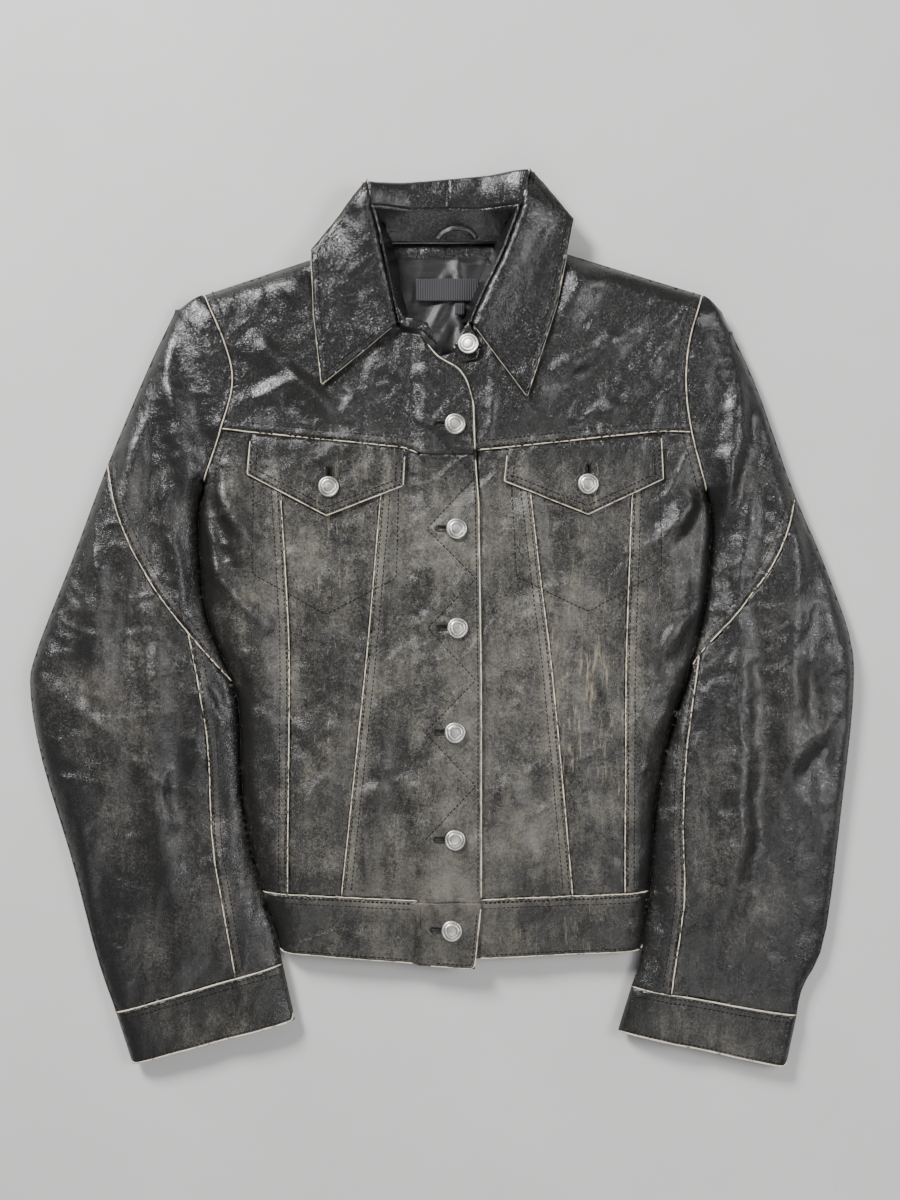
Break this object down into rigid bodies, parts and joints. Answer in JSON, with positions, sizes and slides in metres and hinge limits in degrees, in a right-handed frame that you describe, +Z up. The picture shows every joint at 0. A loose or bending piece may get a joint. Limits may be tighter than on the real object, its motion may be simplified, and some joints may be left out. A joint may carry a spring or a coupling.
{
  "type": "leather jacket",
  "caption": "Black leather trucker jacket laid flat, with folding sleeves, lifting pocket flaps, a front edge that turns back and a collar that turns up.",
  "frame": {"origin": "middle of the footprint, on the surface that the jacket lies on", "axes": "+Y towards the collar, +Z up out of the jacket's front, +X towards the wearer's left sleeve"},
  "size_m": [0.6958, 0.756, 0.0291],
  "materials": {
    "leather_shell": "distressed black garment leather with rubbed patches",
    "leather_trim": "distressed black leather, doubled and topstitched",
    "satin_lining": "black satin",
    "woven_label": "black ribbed ribbon",
    "button_metal": "matt silver"
  },
  "bodies": {
    "torso": {"yoke_right": "leather_shell", "side_panel_right": "leather_shell", "middle_panel_right": "leather_shell", "waistband_right": "leather_trim", "centre_panel_right": "leather_shell", "yoke_left": "leather_shell", "side_panel_left": "leather_shell", "middle_panel_left": "leather_shell", "waistband_left": "leather_trim", "centre_panel_left": "leather_shell", "button_stand_left": "leather_shell", "facing_left": "leather_shell", "back_yoke": "leather_shell", "waistband_back": "leather_trim", "back_centre_panel": "leather_shell", "back_side_panel_right": "leather_shell", "back_side_panel_left": "leather_shell", "back_lining": "satin_lining", "front_lining_right": "satin_lining", "front_lining_left": "satin_lining", "neck_label": "woven_label", "size_tab": "woven_label", "hanger_loop": "leather_trim", "collar_stand": "leather_shell", "collar_back_fall": "leather_shell", "pocket_bag_right": "satin_lining", "sleeve_cap_right": "leather_shell", "flap_button_right": "button_metal", "pocket_bag_left": "satin_lining", "sleeve_cap_left": "leather_shell", "flap_button_left": "button_metal", "front_button_2": "button_metal", "front_button_3": "button_metal", "front_button_4": "button_metal", "front_button_5": "button_metal", "front_button_6": "button_metal", "front_button_7": "button_metal", "front_button_1": "button_metal"},
    "right_sleeve": {"sleeve_upper_right": "leather_shell", "sleeve_forearm_right": "leather_shell", "sleeve_inner_right": "leather_shell", "under_sleeve_right": "leather_shell", "sleeve_lining_right": "satin_lining", "cuff_right": "leather_trim"},
    "left_sleeve": {"sleeve_upper_left": "leather_shell", "sleeve_forearm_left": "leather_shell", "sleeve_inner_left": "leather_shell", "under_sleeve_left": "leather_shell", "sleeve_lining_left": "satin_lining", "cuff_left": "leather_trim"},
    "right_flap": {"pocket_flap_right": "leather_shell"},
    "left_flap": {"pocket_flap_left": "leather_shell"},
    "front_edge": {"yoke_edge_right": "leather_shell", "placket_right": "leather_shell", "waistband_tab_right": "leather_trim", "facing_right": "leather_shell"},
    "right_collar_leaf": {"collar_leaf_right": "leather_shell"},
    "left_collar_leaf": {"collar_leaf_left": "leather_shell"}
  },
  "joints": [
    {"name": "right_sleeve_fold", "type": "hinge", "parent": "torso", "child": "right_sleeve", "pos_m": [-0.225, 0.259, 0.0265], "axis": [0.1679, -0.9858, 0], "range_deg": [-175, 0]},
    {"name": "left_sleeve_fold", "type": "hinge", "parent": "torso", "child": "left_sleeve", "pos_m": [0.245, 0.24, 0.0265], "axis": [-0.1644, -0.9864, 0], "range_deg": [0, 175]},
    {"name": "right_flap_lift", "type": "hinge", "parent": "torso", "child": "right_flap", "pos_m": [-0.1597, 0.1552, 0.0248], "axis": [-0.9948, 0.1016, 0], "range_deg": [0, 150]},
    {"name": "left_flap_lift", "type": "hinge", "parent": "torso", "child": "left_flap", "pos_m": [0.1833, 0.1552, 0.0248], "axis": [-0.9955, -0.0947, 0], "range_deg": [0, 150]},
    {"name": "front_edge_turn", "type": "hinge", "parent": "torso", "child": "front_edge", "pos_m": [-0.0195, 0, 0.0252], "axis": [0, -1, 0], "range_deg": [0, 95]},
    {"name": "right_collar_turn_up", "type": "hinge", "parent": "torso", "child": "right_collar_leaf", "pos_m": [-0.0366, 0.247, 0.0248], "axis": [0.2047, -0.9788, 0], "range_deg": [-100, 0]},
    {"name": "left_collar_turn_up", "type": "hinge", "parent": "torso", "child": "left_collar_leaf", "pos_m": [0.025, 0.247, 0.0248], "axis": [0.3472, 0.9378, 0], "range_deg": [-100, 0]}
  ],
  "couplings": [
    {"joint": "left_collar_turn_up", "follows": "right_collar_turn_up", "ratio": 1}
  ]
}
